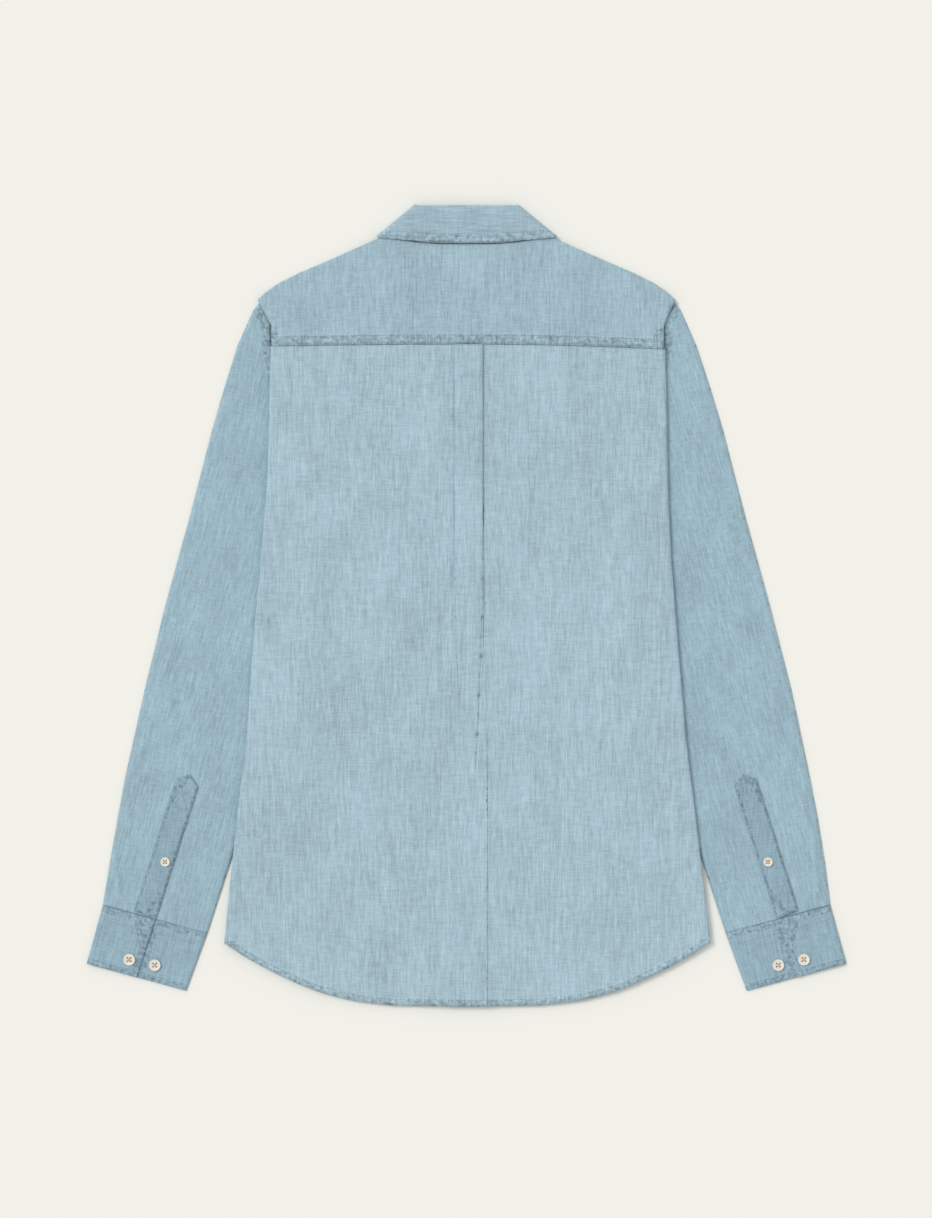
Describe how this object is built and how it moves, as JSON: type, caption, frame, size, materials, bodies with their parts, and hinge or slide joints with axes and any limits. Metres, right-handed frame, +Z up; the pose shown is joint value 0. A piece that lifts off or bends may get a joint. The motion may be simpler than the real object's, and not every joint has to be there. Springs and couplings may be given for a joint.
{
  "type": "long-sleeved chambray shirt, laid flat face down",
  "caption": "Light blue chambray shirt with a back yoke, box pleat, tower sleeve plackets and cream buttons, buttoned up and laid face down.",
  "frame": {"origin": "on the surface it lies on, at the middle of its length and width", "axes": "+Z up out of the back of the shirt, +Y towards the collar, +X towards the wearer's right"},
  "size_m": [0.759, 0.8011, 0.0101],
  "materials": {
    "chambray": "matte",
    "button": "satin"
  },
  "bodies": {
    "root": {"back": "chambray", "front_left": "chambray", "front_right": "chambray", "front_band": "chambray", "button_stand": "chambray", "yoke": "chambray", "sleeve_left": "chambray", "sleeve_right": "chambray", "placket_left": "chambray", "placket_right": "chambray", "cuff_left": "chambray", "cuff_right": "chambray", "collar_stand": "chambray", "collar_leaf": "chambray", "button_front_1": "button", "button_front_2": "button", "button_front_3": "button", "button_front_4": "button", "button_front_5": "button", "button_front_6": "button", "button_collar": "button", "button_cuff_outer_left": "button", "button_cuff_inner_left": "button", "button_placket_left": "button", "button_cuff_outer_right": "button", "button_cuff_inner_right": "button", "button_placket_right": "button"}
  },
  "joints": []
}
